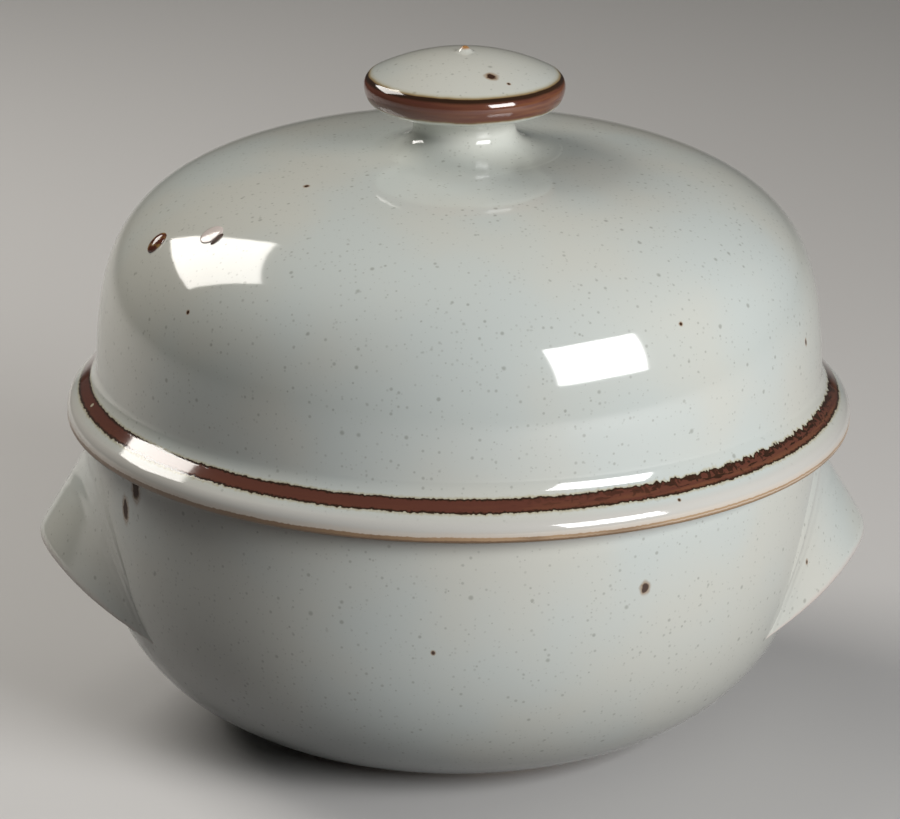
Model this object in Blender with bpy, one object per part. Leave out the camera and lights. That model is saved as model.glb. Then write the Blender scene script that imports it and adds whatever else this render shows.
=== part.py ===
"""Stoneware casserole dish: a thrown bowl with two lugs, and a domed lid with a knob.

Metres, +Z up. The origin is at the middle of the foot ring, on the surface that the dish stands on.
The lugs lie along X. The bowl, the lid and the knob are turned about upright axes, and the lugs are lofted.
"""

import math

import bmesh
import bpy

# Clearances
HAIRLINE = 0.0003  # between pieces that are luted together or lie on each other
COLLAR_CLEARANCE = 0.0018  # all round, between the lid's collar and the mouth
LID_OFF_CENTRE = 0.7 * COLLAR_CLEARANCE  # along X, as the lid was put down by hand

# Bowl: the wall follows a superellipse that the foot cuts off before it reaches the axis
BOWL_RADIUS = 0.1165
LIP_HEIGHT = 0.1017
BOWL_WALL = 0.0070
LIP_ROUNDING = 0.0012
FLOOR_THICKNESS = 0.0080
CURVE_BELOW_FOOT = 0.0045
BOWL_SQUARENESS_DOWN = 3.5
BOWL_SQUARENESS_OUT = 2.6

# Foot ring
FOOT_RADIUS = 0.0605
FOOT_WIDTH = 0.0085
FOOT_HEIGHT = 0.0024
FOOT_RECESS = 0.0036
FOOT_CHAMFER = 0.0008

# Lugs: each section stands upright on the bowl's wall, and they are spread about Z
LUG_HALF_ANGLE = math.radians(28.5)
LUG_TOP_DROP = 0.0125  # from the lip down to the top of the lug
LUG_TIP_DROP = 0.0440  # from the lip down to the lower edge at the tip
LUG_END_DROP = 0.0582  # from the lip down to the lower edge at the ends
LUG_END_HEIGHT = 0.0045
LUG_REACH = 0.0188  # from the wall out to the tip
LUG_END_REACH = 0.0022
LUG_TIP_ROUNDNESS = 0.16
LUG_NOSE = 0.0065  # rounds the face over towards the lower edge at the tip
LUG_EDGE_ROUNDING = 0.0030
LUG_EDGE_SHARE = 0.2  # the most of the reach that the edge's rounding takes
LUG_HOLLOW = 0.0100  # how far the fingers reach up behind the lower edge
LUG_SHOULDER = 3.0  # higher values keep the top of the lug wide
LUG_FACE_BULGE = 0.0005

# Lid: flange, collar and dome
FLANGE_OVERHANG = 0.0085  # from the bowl's wall out to the flange's edge
FLANGE_ROLL = 0.0052  # rounds the shoulder over to the flange's upright face
FLANGE_FACE = 0.0015
FLANGE_EDGE_ROUNDING = 0.0010
SHOULDER_WIDTH = 0.0091  # from the flange's edge in to the foot of the dome
SHOULDER_SLOPE = math.radians(47)
SHOULDER_FILLET = 0.0084
COLLAR_DEPTH = 0.0090
COLLAR_WALL = 0.0055
COLLAR_ROUNDING = 0.0014
COLLAR_BLEND = 0.0160  # height over which the collar runs out into the dome
LID_WALL = 0.0065
DOME_RISE = 0.0871  # from the lip to the top of the dome
DOME_CENTRE_DROP = 0.0556  # from the lip down to the middle of the superellipse
DOME_SQUARENESS_UP = 7.65
DOME_SQUARENESS_OUT = 2.47

# Knob, with heights above the top of the dome
KNOB_RADIUS = 0.0316
KNOB_EDGE_HEIGHT = 0.0197
KNOB_EDGE_ROUNDING = 0.0042
KNOB_EDGE_DEPTH = 0.0060  # from the widest place down to the underside
KNOB_EDGE_TOP_TURN = math.radians(55)
KNOB_EDGE_UNDER_TURN = math.radians(75)
KNOB_CROWN = 0.0072
KNOB_NECK_RADIUS = 0.0162
KNOB_WAIST_HEIGHT = 0.0080
KNOB_FLARE_RADIUS = 0.0270
KNOB_FLARE_EDGE = 0.0006
KNOB_TIP_HEIGHT = 0.0012
KNOB_TIP_RADIUS = 0.0030
KNOB_OFF_CENTRE = 0.0009  # along X from the dome, as it was luted on by eye

# Fineness
TURN_STEPS = 60
KNOB_TURN_STEPS = 36
WALL_STEPS = 13
DOME_STEPS = 14
DOME_INSIDE_STEPS = 9
COLLAR_BLEND_STEPS = 6
ROLL_STEPS = 4
FILLET_STEPS = 4
EDGE_STEPS = 3
LUG_SECTIONS = 24
LUG_FACE_STEPS = 4
LUG_NOSE_STEPS = 3
LUG_EDGE_STEPS = 5
LUG_HOLLOW_STEPS = 4
LUG_BACK_STEPS = 4
KNOB_TIP_STEPS = 3
KNOB_CROWN_STEPS = 4
KNOB_EDGE_STEPS = 4
KNOB_NECK_STEPS = 6
KNOB_SEAT_STEPS = 4
MERGE_DISTANCE = 0.00001

# Sizes that follow from those above
MOUTH_RADIUS = BOWL_RADIUS - BOWL_WALL
FLOOR_HEIGHT = FOOT_RECESS + FLOOR_THICKNESS
FLANGE_RADIUS = BOWL_RADIUS + FLANGE_OVERHANG
DOME_RADIUS = FLANGE_RADIUS - SHOULDER_WIDTH
LID_SEAT = LIP_HEIGHT + HAIRLINE
COLLAR_RADIUS = MOUTH_RADIUS - COLLAR_CLEARANCE
DOME_CENTRE = LIP_HEIGHT - DOME_CENTRE_DROP
DOME_TOP = LIP_HEIGHT + DOME_RISE


def arc(centre_r, centre_z, radius_r, radius_z, start, end, steps):
    """Points of an elliptical arc in the (radius, height) plane, both ends included."""
    points = []
    for step in range(steps + 1):
        angle = start + (end - start) * step / steps
        points.append((centre_r + radius_r * math.cos(angle), centre_z + radius_z * math.sin(angle)))
    return points


def bowl_radius_at(height):
    """Outer radius of the bowl's wall at a height."""
    share = (LIP_HEIGHT - height) / (LIP_HEIGHT + CURVE_BELOW_FOOT)
    return BOWL_RADIUS * (1 - share**BOWL_SQUARENESS_DOWN) ** (1 / BOWL_SQUARENESS_OUT)


def dome_height_at(radius, inset=0.0):
    """Height of the dome's surface at a radius; the inset gives its inner surface."""
    share = radius / (DOME_RADIUS - inset)
    return DOME_CENTRE + (DOME_TOP - DOME_CENTRE - inset) * (1 - share**DOME_SQUARENESS_OUT) ** (
        1 / DOME_SQUARENESS_UP
    )


def dome_radius_at(height, inset=0.0):
    """Radius of the dome's surface at a height; the inset gives its inner surface."""
    share = (height - DOME_CENTRE) / (DOME_TOP - DOME_CENTRE - inset)
    return (DOME_RADIUS - inset) * (1 - share**DOME_SQUARENESS_UP) ** (1 / DOME_SQUARENESS_OUT)


def dome_curve(lowest, steps, inset=0.0):
    """Points of the dome from its top on the axis down to a height, evenly spread over its curve."""
    rise = DOME_TOP - DOME_CENTRE - inset
    last = math.asin(((lowest - DOME_CENTRE) / rise) ** (DOME_SQUARENESS_UP / 2))
    points = [(0.0, DOME_TOP - inset)]
    for step in range(1, steps + 1):
        angle = math.pi / 2 + (last - math.pi / 2) * step / steps
        radius = (DOME_RADIUS - inset) * math.cos(angle) ** (2 / DOME_SQUARENESS_OUT)
        points.append((radius, DOME_CENTRE + rise * math.sin(angle) ** (2 / DOME_SQUARENESS_UP)))
    return points


def glaze(name, colour, roughness):
    """Principled material of a fired surface."""
    material = bpy.data.materials.new(name)
    material.use_nodes = True
    shader = material.node_tree.nodes["Principled BSDF"]
    shader.inputs["Base Color"].default_value = (*colour, 1.0)
    shader.inputs["Roughness"].default_value = roughness
    shader.inputs["Metallic"].default_value = 0.0
    return material


def add_object(name, mesh, material):
    mesh.materials.append(material)
    mesh.shade_smooth()
    obj = bpy.data.objects.new(name, mesh)
    bpy.context.scene.collection.objects.link(obj)
    return obj


def turned(name, profile, steps, material):
    """A piece thrown on the wheel: a profile that starts and ends on the axis, turned about Z."""
    mesh = bpy.data.meshes.new(name)
    edges = [(index, index + 1) for index in range(len(profile) - 1)]
    mesh.from_pydata([(radius, 0.0, height) for radius, height in profile], edges, [])
    obj = add_object(name, mesh, material)
    screw = obj.modifiers.new("Throwing", "SCREW")
    screw.axis = "Z"
    screw.steps = steps
    screw.render_steps = steps
    screw.use_merge_vertices = True
    screw.merge_threshold = MERGE_DISTANCE
    screw.use_smooth_shade = True
    return obj


def bowl_profile():
    """Inside from the axis up to the lip, then the wall down to the foot and back to the axis."""
    depth = LIP_HEIGHT - FLOOR_HEIGHT
    inside = [(0.0, FLOOR_HEIGHT)]
    for step in range(1, WALL_STEPS):
        angle = math.pi / 2 * (1 - step / WALL_STEPS)
        radius = MOUTH_RADIUS * math.cos(angle) ** (2 / BOWL_SQUARENESS_OUT)
        inside.append((radius, LIP_HEIGHT - depth * math.sin(angle) ** (2 / BOWL_SQUARENESS_DOWN)))
    turn = LIP_ROUNDING
    lip_height = LIP_HEIGHT - turn
    inner_lip = arc(MOUTH_RADIUS + turn, lip_height, turn, turn, math.pi, math.pi / 2, EDGE_STEPS)
    outer_lip = arc(BOWL_RADIUS - turn, lip_height, turn, turn, math.pi / 2, 0.0, EDGE_STEPS)
    whole = LIP_HEIGHT + CURVE_BELOW_FOOT
    last = math.asin(((LIP_HEIGHT - FOOT_HEIGHT) / whole) ** (BOWL_SQUARENESS_DOWN / 2))
    first = math.asin((LIP_ROUNDING / whole) ** (BOWL_SQUARENESS_DOWN / 2))
    outside = []
    for step in range(1, WALL_STEPS + 1):
        angle = first + (last - first) * step / WALL_STEPS
        radius = BOWL_RADIUS * math.cos(angle) ** (2 / BOWL_SQUARENESS_OUT)
        outside.append((radius, LIP_HEIGHT - whole * math.sin(angle) ** (2 / BOWL_SQUARENESS_DOWN)))
    foot_inner = FOOT_RADIUS - FOOT_WIDTH
    foot = [
        (FOOT_RADIUS, FOOT_HEIGHT),
        (FOOT_RADIUS, FOOT_CHAMFER),
        (FOOT_RADIUS - FOOT_CHAMFER, 0.0),
        (foot_inner + FOOT_CHAMFER, 0.0),
        (foot_inner, FOOT_CHAMFER),
        (foot_inner - FOOT_RECESS, FOOT_RECESS),
        (0.0, FOOT_RECESS),
    ]
    return inside + inner_lip + outer_lip + outside + foot


def lug_section(share):
    """Upright section of a lug on the bowl's wall; share is 0 at the tip and 1 at either end."""
    taper = math.hypot(share, LUG_TIP_ROUNDNESS) - LUG_TIP_ROUNDNESS
    taper /= math.hypot(1.0, LUG_TIP_ROUNDNESS) - LUG_TIP_ROUNDNESS
    reach = LUG_REACH + (LUG_END_REACH - LUG_REACH) * taper
    edge_height = LIP_HEIGHT - LUG_TIP_DROP - (LUG_END_DROP - LUG_TIP_DROP) * taper
    end_top = LIP_HEIGHT - LUG_END_DROP + LUG_END_HEIGHT
    top_height = LIP_HEIGHT - LUG_TOP_DROP
    top_height += (end_top - top_height) * share**LUG_SHOULDER
    hollow_height = edge_height + (top_height - edge_height) / 2
    hollow_height = min(hollow_height, edge_height + LUG_HOLLOW)
    rounding = min(LUG_EDGE_ROUNDING, reach * LUG_EDGE_SHARE, (hollow_height - edge_height) / 2)
    edge_radius = bowl_radius_at(edge_height) + reach
    top_radius = bowl_radius_at(top_height) + HAIRLINE
    hollow_radius = bowl_radius_at(hollow_height) + HAIRLINE
    lip_centre = edge_radius - rounding
    lip_height = edge_height + rounding
    lip = arc(lip_centre, lip_height, rounding, rounding, 0.0, -math.pi, LUG_EDGE_STEPS)
    # The face runs straight from the wall until it touches the nose
    nose = LUG_NOSE * reach / LUG_REACH
    rise = top_height - lip_height
    run = top_radius - (edge_radius - nose)
    nose_turn = math.atan2(rise, run) - math.acos(nose / math.hypot(run, rise))
    rounded = arc(edge_radius - nose, lip_height, nose, nose, nose_turn, 0.0, LUG_NOSE_STEPS)
    face = []
    for step in range(LUG_FACE_STEPS):
        along = step / LUG_FACE_STEPS
        radius = top_radius + (rounded[0][0] - top_radius) * along
        height = top_height + (rounded[0][1] - top_height) * along
        bulge = LUG_FACE_BULGE * (reach / LUG_REACH) * math.sin(math.pi * along)
        face.append((radius + bulge, height + bulge))
    face += rounded[:-1]
    under = arc(
        hollow_radius,
        lip_height,
        lip_centre - rounding - hollow_radius,
        hollow_height - edge_height - rounding,
        0.0,
        math.pi / 2,
        LUG_HOLLOW_STEPS,
    )[1:]
    back = []
    for step in range(1, LUG_BACK_STEPS):
        height = hollow_height + (top_height - hollow_height) * step / LUG_BACK_STEPS
        back.append((bowl_radius_at(height) + HAIRLINE, height))
    return face + lip + under + back


def lug(name, heading, material):
    """An ear lofted through its sections; heading is the angle of its tip about Z."""
    shell = bmesh.new()
    loops = []
    for step in range(LUG_SECTIONS + 1):
        share = 2 * step / LUG_SECTIONS - 1
        angle = heading + share * LUG_HALF_ANGLE
        loop = []
        for radius, height in lug_section(abs(share)):
            loop.append(shell.verts.new((radius * math.cos(angle), radius * math.sin(angle), height)))
        loops.append(loop)
    for first, second in zip(loops, loops[1:]):
        for index in range(len(first)):
            after = (index + 1) % len(first)
            shell.faces.new((first[index], first[after], second[after], second[index]))
    shell.faces.new(loops[0])
    shell.faces.new(loops[-1])
    bmesh.ops.recalc_face_normals(shell, faces=shell.faces)
    mesh = bpy.data.meshes.new(name)
    shell.to_mesh(mesh)
    shell.free()
    return add_object(name, mesh, material)


def lid_profile():
    """Outside from the top of the dome down to the flange, then the collar and the inside."""
    slope_turn = math.pi / 2 - SHOULDER_SLOPE
    turn = FLANGE_EDGE_ROUNDING
    face_z = LID_SEAT + turn
    edge = arc(FLANGE_RADIUS - turn, face_z, turn, turn, 0.0, -math.pi / 2, EDGE_STEPS)
    roll_r = FLANGE_RADIUS - FLANGE_ROLL
    roll = arc(roll_r, face_z + FLANGE_FACE, FLANGE_ROLL, FLANGE_ROLL, slope_turn, 0.0, ROLL_STEPS)
    flange = roll + edge
    # The fillet touches the sloping shoulder and the dome's wall
    fillet_foot_r = DOME_RADIUS + SHOULDER_FILLET * (1 - math.cos(slope_turn))
    fillet_foot_z = roll[0][1] + (roll[0][0] - fillet_foot_r) * math.tan(SHOULDER_SLOPE)
    fillet_z = fillet_foot_z + SHOULDER_FILLET * math.sin(slope_turn)
    wall_r = dome_radius_at(fillet_z)
    fillet = arc(
        wall_r + SHOULDER_FILLET,
        fillet_z,
        SHOULDER_FILLET,
        SHOULDER_FILLET,
        math.pi,
        math.pi + slope_turn,
        FILLET_STEPS,
    )
    collar_foot = LID_SEAT - COLLAR_DEPTH
    collar_inner = COLLAR_RADIUS - COLLAR_WALL
    turn = COLLAR_ROUNDING
    collar = [(COLLAR_RADIUS, LID_SEAT)]
    collar += arc(COLLAR_RADIUS - turn, collar_foot + turn, turn, turn, 0.0, -math.pi / 2, EDGE_STEPS)
    collar += arc(collar_inner + turn, collar_foot + turn, turn, turn, -math.pi / 2, -math.pi, EDGE_STEPS)
    inside_top = LID_SEAT + COLLAR_BLEND
    inside_r = dome_radius_at(inside_top, LID_WALL)
    blend = []
    for step in range(COLLAR_BLEND_STEPS):
        share = step / COLLAR_BLEND_STEPS
        ease = share * share * (3 - 2 * share)
        blend.append((collar_inner + (inside_r - collar_inner) * ease, LID_SEAT + COLLAR_BLEND * share))
    inside = dome_curve(inside_top, DOME_INSIDE_STEPS, LID_WALL)
    return dome_curve(fillet_z, DOME_STEPS) + fillet[1:] + flange + collar + blend + inside[::-1]


def knob_profile():
    """Outside from the tip over the head and neck to the flare, then back along the dome to the axis."""
    edge_z = DOME_TOP + KNOB_EDGE_HEIGHT
    edge_r = KNOB_RADIUS - KNOB_EDGE_ROUNDING
    turn = KNOB_EDGE_ROUNDING
    edge = arc(edge_r, edge_z, turn, turn, KNOB_EDGE_TOP_TURN, 0.0, KNOB_EDGE_STEPS)
    edge += arc(edge_r, edge_z, turn, KNOB_EDGE_DEPTH, 0.0, -KNOB_EDGE_UNDER_TURN, KNOB_EDGE_STEPS)[1:]
    rim_r, rim_z = edge[0]
    crown_radius = (rim_r**2 + KNOB_CROWN**2) / (2 * KNOB_CROWN)
    crown_centre = rim_z + KNOB_CROWN - crown_radius
    radii = [KNOB_TIP_RADIUS * step / KNOB_TIP_STEPS for step in range(KNOB_TIP_STEPS + 1)]
    radii += [rim_r * step / KNOB_CROWN_STEPS for step in range(1, KNOB_CROWN_STEPS)]
    crown = []
    for radius in radii:
        height = crown_centre + math.sqrt(crown_radius**2 - radius**2)
        if radius < KNOB_TIP_RADIUS:
            height += KNOB_TIP_HEIGHT * (1 + math.cos(math.pi * radius / KNOB_TIP_RADIUS)) / 2
        crown.append((radius, height))
    under_r, under_z = edge[-1]
    waist_z = DOME_TOP + KNOB_WAIST_HEIGHT
    under = arc(
        under_r,
        waist_z,
        under_r - KNOB_NECK_RADIUS,
        under_z - waist_z,
        math.pi / 2,
        math.pi,
        KNOB_NECK_STEPS,
    )[1:]
    flare_z = dome_height_at(KNOB_FLARE_RADIUS) + HAIRLINE + KNOB_FLARE_EDGE
    flare = arc(
        KNOB_FLARE_RADIUS,
        waist_z,
        KNOB_FLARE_RADIUS - KNOB_NECK_RADIUS,
        waist_z - flare_z,
        math.pi,
        1.5 * math.pi,
        KNOB_NECK_STEPS,
    )[1:]
    seat = []
    for step in range(KNOB_SEAT_STEPS, -1, -1):
        radius = KNOB_FLARE_RADIUS * step / KNOB_SEAT_STEPS
        seat.append((radius, dome_height_at(radius) + HAIRLINE))
    return crown + edge + under + flare + seat


for leftover in list(bpy.data.objects):
    bpy.data.objects.remove(leftover)

turned("dish_bowl", bowl_profile(), TURN_STEPS, glaze("bowl_glaze", (0.47, 0.49, 0.44), 0.22))
lug("lug_right", 0.0, glaze("right_lug_glaze", (0.50, 0.52, 0.47), 0.22))
lug("lug_left", math.pi, glaze("left_lug_glaze", (0.50, 0.52, 0.47), 0.22))
lid = turned("lid_dome", lid_profile(), TURN_STEPS, glaze("lid_glaze", (0.47, 0.49, 0.44), 0.20))
lid.location.x = LID_OFF_CENTRE
knob = turned("lid_knob", knob_profile(), KNOB_TURN_STEPS, glaze("knob_iron", (0.14, 0.04, 0.025), 0.22))
knob.location.x = LID_OFF_CENTRE + KNOB_OFF_CENTRE
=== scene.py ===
"""Looks of a stoneware casserole dish: pale celadon glaze, iron-painted bands and bare toasted clay.

Metres, +Z up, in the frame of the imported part. The dish stands on its foot ring at the origin.
"""

import math

import bpy
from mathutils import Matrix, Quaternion, Vector


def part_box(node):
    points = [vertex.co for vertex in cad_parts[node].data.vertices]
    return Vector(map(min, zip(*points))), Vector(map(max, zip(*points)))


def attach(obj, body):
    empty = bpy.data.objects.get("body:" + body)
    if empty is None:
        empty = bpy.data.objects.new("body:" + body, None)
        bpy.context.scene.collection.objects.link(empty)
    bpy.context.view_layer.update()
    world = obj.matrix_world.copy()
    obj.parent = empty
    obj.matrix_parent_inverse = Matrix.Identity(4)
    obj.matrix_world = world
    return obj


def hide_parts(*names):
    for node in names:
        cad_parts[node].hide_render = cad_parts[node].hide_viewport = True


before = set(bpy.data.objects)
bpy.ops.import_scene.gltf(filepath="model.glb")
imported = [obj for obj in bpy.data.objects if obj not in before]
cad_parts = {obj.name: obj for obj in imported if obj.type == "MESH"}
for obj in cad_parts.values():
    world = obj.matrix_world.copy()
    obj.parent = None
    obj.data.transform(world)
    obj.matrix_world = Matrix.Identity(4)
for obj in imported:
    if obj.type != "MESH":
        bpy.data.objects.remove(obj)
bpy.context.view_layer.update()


# Dish bowl: stoneware thrown on the wheel and trimmed underneath to a low foot ring.
# It is glazed inside and out, and the lip and the foot are wiped bare so that they don't stick in the kiln.
# The wall follows a superellipse that the foot cuts off before it reaches the axis.
bowl_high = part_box("dish_bowl")[1]
MILLIMETRE = 0.001
BOWL_RADIUS = bowl_high.x
LIP_HEIGHT = bowl_high.z
BOWL_WALL = 0.0070
LIP_ROUNDING = 0.0012
FLOOR_HEIGHT = 0.0116
CURVE_BELOW_FOOT = 0.0045
BOWL_SQUARENESS_DOWN = 3.5
BOWL_SQUARENESS_OUT = 2.6
FOOT_RADIUS = 0.0605
FOOT_WIDTH = 0.0085
FOOT_HEIGHT = 0.0024
FOOT_RECESS = 0.0036
FOOT_RECESS_START = math.radians(20)  # where the curve of the recess leaves the ring
FOOT_ROUNDING = 0.0009
THROWING_RIDGE = 0.00022
THROWING_PITCH = 0.0105
BOWL_INSIDE_STEPS = 70
BOWL_OUTSIDE_STEPS = 64
UNDER_LIP = 3  # points of the inside whose place the rounded lip takes
ROUNDING_STEPS = 6
FOOT_ROUNDING_STEPS = 5
WHEEL_STEPS = 240
MERGE_DISTANCE = 0.000001


def arc(centre_r, centre_z, radius_r, radius_z, start, end, steps):
    """Points of an elliptical arc in the (radius, height) plane, both ends included."""
    turns = [start + (end - start) * step / steps for step in range(steps + 1)]
    return [(centre_r + radius_r * math.cos(turn), centre_z + radius_z * math.sin(turn)) for turn in turns]


def quarter_round(centre_r, centre_z, rounding, start, steps=ROUNDING_STEPS):
    """A rounded corner: a quarter of a circle, clockwise from the start."""
    return arc(centre_r, centre_z, rounding, rounding, start, start - math.pi / 2, steps)


def ridged(radius, height):
    """A point of an inside wall, moved by the ridges that the fingers left in throwing."""
    ridge = THROWING_RIDGE * math.sin(math.tau * (radius + height) / THROWING_PITCH)
    return radius - ridge, height


def throw(name, profile, axis_x, steps):
    """Draws a profile point by point, from the axis and back to it, and turns it on the wheel."""
    bpy.ops.object.select_all(action="DESELECT")
    bpy.ops.mesh.primitive_plane_add(size=MILLIMETRE)
    piece = bpy.context.object
    piece.name = name
    piece.data.name = name
    bpy.ops.object.mode_set(mode="EDIT")
    bpy.ops.mesh.merge(type="CENTER")
    radius, height = profile[0]
    bpy.ops.transform.translate(value=(axis_x + radius, 0.0, height))
    for next_radius, next_height in profile[1:]:
        step = (next_radius - radius, 0.0, next_height - height)
        bpy.ops.mesh.extrude_vertices_move(TRANSFORM_OT_translate={"value": step})
        radius, height = next_radius, next_height
    bpy.ops.mesh.select_all(action="SELECT")
    bpy.ops.mesh.spin(steps=steps, angle=math.tau, center=(axis_x, 0.0, 0.0), axis=(0.0, 0.0, 1.0))
    bpy.ops.mesh.select_all(action="SELECT")
    bpy.ops.mesh.remove_doubles(threshold=MERGE_DISTANCE)
    bpy.ops.mesh.normals_make_consistent(inside=False)
    bpy.ops.object.mode_set(mode="OBJECT")
    bpy.ops.object.shade_smooth()
    return piece


def bowl_radius_at(height):
    """Outer radius of the bowl's wall at a height."""
    share = max(0.0, LIP_HEIGHT - height) / (LIP_HEIGHT + CURVE_BELOW_FOOT)
    return BOWL_RADIUS * (1 - share**BOWL_SQUARENESS_DOWN) ** (1 / BOWL_SQUARENESS_OUT)


def superellipse(radius, depth, first, last, steps):
    """Points of the bowl's curve under the lip, from one angle to another."""
    points = []
    for step in range(steps + 1):
        turn = first + (last - first) * step / steps
        out = radius * math.cos(turn) ** (2 / BOWL_SQUARENESS_OUT)
        points.append((out, LIP_HEIGHT - depth * math.sin(turn) ** (2 / BOWL_SQUARENESS_DOWN)))
    return points


mouth_radius = BOWL_RADIUS - BOWL_WALL
inside = superellipse(mouth_radius, LIP_HEIGHT - FLOOR_HEIGHT, math.pi / 2, 0.0, BOWL_INSIDE_STEPS)
bowl_profile = [(0.0, FLOOR_HEIGHT)]
bowl_profile += [ridged(radius, height) for radius, height in inside[1:-UNDER_LIP]]
lip_z = LIP_HEIGHT - LIP_ROUNDING
bowl_profile += quarter_round(mouth_radius + LIP_ROUNDING, lip_z, LIP_ROUNDING, math.pi)
bowl_profile += quarter_round(BOWL_RADIUS - LIP_ROUNDING, lip_z, LIP_ROUNDING, math.pi / 2)
whole_depth = LIP_HEIGHT + CURVE_BELOW_FOOT
first_turn = math.asin((LIP_ROUNDING / whole_depth) ** (BOWL_SQUARENESS_DOWN / 2))
last_turn = math.asin(((LIP_HEIGHT - FOOT_HEIGHT) / whole_depth) ** (BOWL_SQUARENESS_DOWN / 2))
bowl_profile += superellipse(BOWL_RADIUS, whole_depth, first_turn, last_turn, BOWL_OUTSIDE_STEPS)[1:]
foot_inner = FOOT_RADIUS - FOOT_WIDTH
for centre_r, start in ((FOOT_RADIUS - FOOT_ROUNDING, 0.0), (foot_inner + FOOT_ROUNDING, -math.pi / 2)):
    bowl_profile += quarter_round(centre_r, FOOT_ROUNDING, FOOT_ROUNDING, start, FOOT_ROUNDING_STEPS)
recess_r = foot_inner - FOOT_RECESS
bowl_profile += arc(recess_r, 0.0, FOOT_RECESS, FOOT_RECESS, FOOT_RECESS_START, math.pi / 2, ROUNDING_STEPS)
bowl_profile.append((0.0, FOOT_RECESS))
dish_bowl = throw("thrown_bowl", bowl_profile, 0.0, WHEEL_STEPS)

CELADON_COOL = (0.585, 0.625, 0.600, 1.0)
CELADON_WARM = (0.620, 0.622, 0.565, 1.0)
TINT_DRIFT = 16.0  # patches per metre
TINT_EDGES = (0.35, 0.65)
THIN_GLAZE = (0.610, 0.595, 0.555, 1.0)
GLOSS = 0.07
GLAZE_SPECULAR = 0.80
GLAZE_RIPPLE = 0.020  # in millimetres
RIPPLE_SCALE = 110.0
SPECK = (0.200, 0.200, 0.165, 1.0)
SPECK_LAYERS = (  # cells per metre, largest size as a share of a cell, strength
    (210.0, 0.23, 0.48),
    (420.0, 0.33, 0.40),
    (680.0, 0.42, 0.24),
)
SPECK_LEAST = 0.001  # keeps the smallest from dividing by nothing
SPECK_CORE = 0.3  # share of a speck that has its full strength
TOASTED_CLAY = (0.420, 0.260, 0.140, 1.0)
PALE_CLAY = (0.560, 0.400, 0.250, 1.0)
CLAY_GRAIN = 420.0
CLAY_EDGES = (0.3, 0.7)
BARE_ROUGHNESS = 0.80
BARE_GRAIN = 900.0
BARE_RELIEF = 0.10  # in millimetres
SPOT_IRON = (0.050, 0.022, 0.012, 1.0)
SPOT_HALO = (0.300, 0.170, 0.070, 1.0)
SPOT_GRAIN = 600.0
SPOT_RAGGED = 0.7  # how far the edge strays, in radii of the spot, as the edges below are
SPOT_EDGES = (1.05, 0.6)
SPOT_HALO_EDGES = (1.7, 0.8)
SPOT_HALO_STRENGTH = 0.75
SPOT_DRY_EDGES = (1.2, 0.8)  # the iron fires dry and takes the gloss off the glaze
WIPE_GRAIN = 300.0
WIPE_WANDER = 0.0016
LIP_THIN_FROM = LIP_HEIGHT - 0.0050
LIP_THIN_TO = LIP_HEIGHT - 0.0020
LIP_GLAZE_END = LIP_HEIGHT - 0.0022
LIP_BARE_FROM = LIP_HEIGHT - 0.0014
FOOT_WIPED = (0.0036, 0.0028)  # heights at which the glaze ends and the clay is bare
FOOT_WIPED_INNER = (0.0485, 0.0495)  # radii inside the ring for the same two places


class Shade:
    """A value on a socket of a material: its operators add Math nodes, and node() adds any other node."""

    def __init__(self, tree, socket):
        self.tree = tree
        self.socket = socket

    def node(self, kind, settings, sockets, output=0):
        """Adds a node of a type, with its settings made before the values or links of its sockets."""
        node = self.tree.nodes.new("ShaderNode" + kind)
        for name, value in settings.items():
            setattr(node, name, value)
        for name, value in sockets.items():
            if isinstance(value, Shade):
                self.tree.links.new(value.socket, node.inputs[name])
            else:
                node.inputs[name].default_value = value
        return Shade(self.tree, node.outputs[output])

    def beside(self, output):
        """Another output of the node that this value comes from."""
        return Shade(self.tree, self.socket.node.outputs[output])

    def maths(self, operation, first, second):
        return self.node("Math", {"operation": operation}, {0: first, 1: second})

    def __add__(self, other):
        return self.maths("ADD", self, other)

    def __sub__(self, other):
        return self.maths("SUBTRACT", self, other)

    def __rsub__(self, other):
        return self.maths("SUBTRACT", other, self)

    def __mul__(self, other):
        return self.maths("MULTIPLY", self, other)

    def __truediv__(self, other):
        return self.maths("DIVIDE", self, other)

    def __pow__(self, other):
        return self.maths("POWER", self, other)

    __radd__ = __add__
    __rmul__ = __mul__

    def either(self, other):
        return self.maths("MAXIMUM", self, other)

    def step(self, start, end):
        """Goes smoothly from 0 at start to 1 at end, whichever of them is the larger."""
        settings = {"interpolation_type": "SMOOTHSTEP"}
        return self.node("MapRange", settings, {"Value": self, "From Min": start, "From Max": end})

    def mix(self, first, second):
        """The first colour where this value is 0, and the second where it is 1."""
        return self.node("Mix", {"data_type": "RGBA"}, {0: self, 6: first, 7: second}, output=2)

    def stretch(self, factors):
        return self.node("VectorMath", {"operation": "MULTIPLY"}, {0: self, 1: factors})

    def clouds(self, scale, detail=2.0):
        """A soft pattern from 0 to 1; the scale is per metre unless the place was stretched."""
        return self.node("TexNoise", {}, {"Vector": self, "Scale": scale, "Detail": detail})

    def drift(self, scale, detail=2.0):
        """The same pattern about 0, from -0.5 to 0.5."""
        return self.clouds(scale, detail) - 0.5

    def along(self, axis):
        return self.node("SeparateXYZ", {}, {0: self}, output=axis)


def new_surface(name):
    """A material, and the place on the piece that its patterns read."""
    material = bpy.data.materials.new(name)
    material.use_nodes = True
    coordinates = material.node_tree.nodes.new("ShaderNodeTexCoord")
    return material, Shade(material.node_tree, coordinates.outputs["Object"])


def axis_distance(place, axis_x):
    """How far a place is from an upright axis."""
    x = place.along("X") - axis_x
    y = place.along("Y")
    return (x * x + y * y) ** 0.5


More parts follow.
